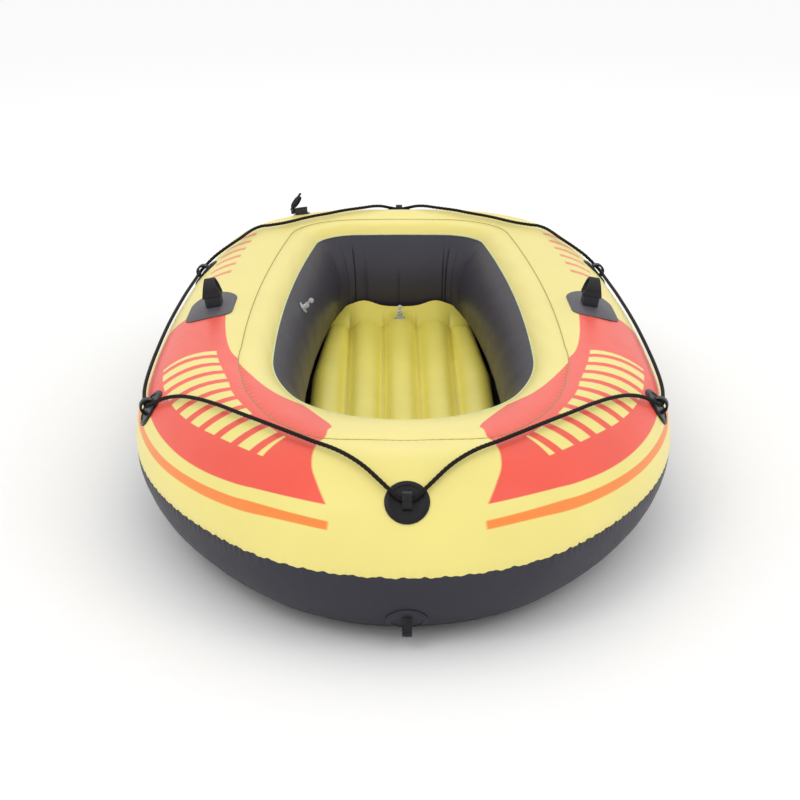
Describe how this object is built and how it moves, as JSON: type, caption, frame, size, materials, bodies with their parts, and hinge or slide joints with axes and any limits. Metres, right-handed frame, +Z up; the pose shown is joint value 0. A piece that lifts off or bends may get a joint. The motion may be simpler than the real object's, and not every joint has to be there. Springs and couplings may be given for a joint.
{
  "type": "inflatable boat",
  "caption": "Small oval inflatable boat with two ring-shaped air chambers, ribbed inflatable floor, grab rope, oarlocks, tow ring and valves.",
  "frame": {"origin": "on the ground under the middle of the boat's overall length and width", "axes": "+Z up, -Y towards the bow, +X to starboard"},
  "size_m": [0.9799, 1.85, 0.3479],
  "materials": {
    "yellow_film": "glossy PVC film",
    "navy_film": "glossy PVC film",
    "inner_film": "plain PVC film",
    "black_moulding": "soft moulded PVC",
    "grey_patch": "moulded PVC patch",
    "rope": "twisted polypropylene",
    "clear_valve": "clear soft PVC",
    "pin_metal": "moulded pin"
  },
  "bodies": {
    "hull": {"outer_top_sheet": "yellow_film", "outer_base_sheet": "navy_film", "inner_top_sheet": "yellow_film", "cockpit_wall": "navy_film", "divider_web": "inner_film", "bottom_sheet": "navy_film", "floor_mat_top": "yellow_film", "floor_mat_base": "yellow_film", "floor_valve_stem": "clear_valve", "holder_bow": "black_moulding", "holder_fore_port": "black_moulding", "holder_fore_starboard": "black_moulding", "holder_aft_port": "black_moulding", "holder_aft_starboard": "black_moulding", "holder_stern": "black_moulding", "tow_ring": "navy_film", "oarlock_patch_port": "grey_patch", "oarlock_patch_starboard": "grey_patch", "oarlock_socket_port": "black_moulding", "oarlock_socket_starboard": "black_moulding", "grab_rope": "rope", "valve_flange": "black_moulding", "valve_gasket": "black_moulding", "valve_hinge_pin": "pin_metal", "chamber_valve_stem": "clear_valve"},
    "oarlock_head_port": {"oarlock_ring_port": "black_moulding"},
    "oarlock_head_starboard": {"oarlock_ring_starboard": "black_moulding"},
    "main_valve_plug": {"valve_plug": "black_moulding", "valve_diaphragm": "clear_valve"},
    "main_valve_cap": {"valve_cap": "black_moulding"},
    "floor_valve_stopper": {"floor_valve_plug": "clear_valve"},
    "chamber_valve_stopper": {"chamber_valve_plug": "clear_valve"}
  },
  "joints": [
    {"name": "oarlock_swivel_port", "type": "hinge", "parent": "hull", "child": "oarlock_head_port", "pos_m": [-0.36943, 0.0126, 0.31048], "axis": [-0.1736, 0.0052, 0.9848], "range_deg": [-80, 80]},
    {"name": "oarlock_swivel_starboard", "type": "hinge", "parent": "hull", "child": "oarlock_head_starboard", "pos_m": [0.36943, 0.0126, 0.31048], "axis": [0.1736, 0.0052, 0.9848], "range_deg": [-80, 80]},
    {"name": "main_valve_unscrew", "type": "hinge", "parent": "hull", "child": "main_valve_plug", "pos_m": [-0.22883, 0.77093, 0.29934], "axis": [-0.1388, 0.1982, 0.9703], "range_deg": [0, 540]},
    {"name": "main_valve_cap_hinge", "type": "hinge", "parent": "hull", "child": "main_valve_cap", "pos_m": [-0.24716, 0.77761, 0.29741], "axis": [-0.3518, -0.9257, 0.1388], "range_deg": [-35, 80]},
    {"name": "floor_valve_stopper_hinge", "type": "hinge", "parent": "hull", "child": "floor_valve_stopper", "pos_m": [0, 0.573, 0.1102], "axis": [-1, 0, 0], "range_deg": [-85, 30]},
    {"name": "chamber_valve_stopper_hinge", "type": "hinge", "parent": "hull", "child": "chamber_valve_stopper", "pos_m": [-0.19295, 0.2023, 0.23871], "axis": [-0.558, 0.0361, 0.829], "range_deg": [-85, 30]}
  ]
}
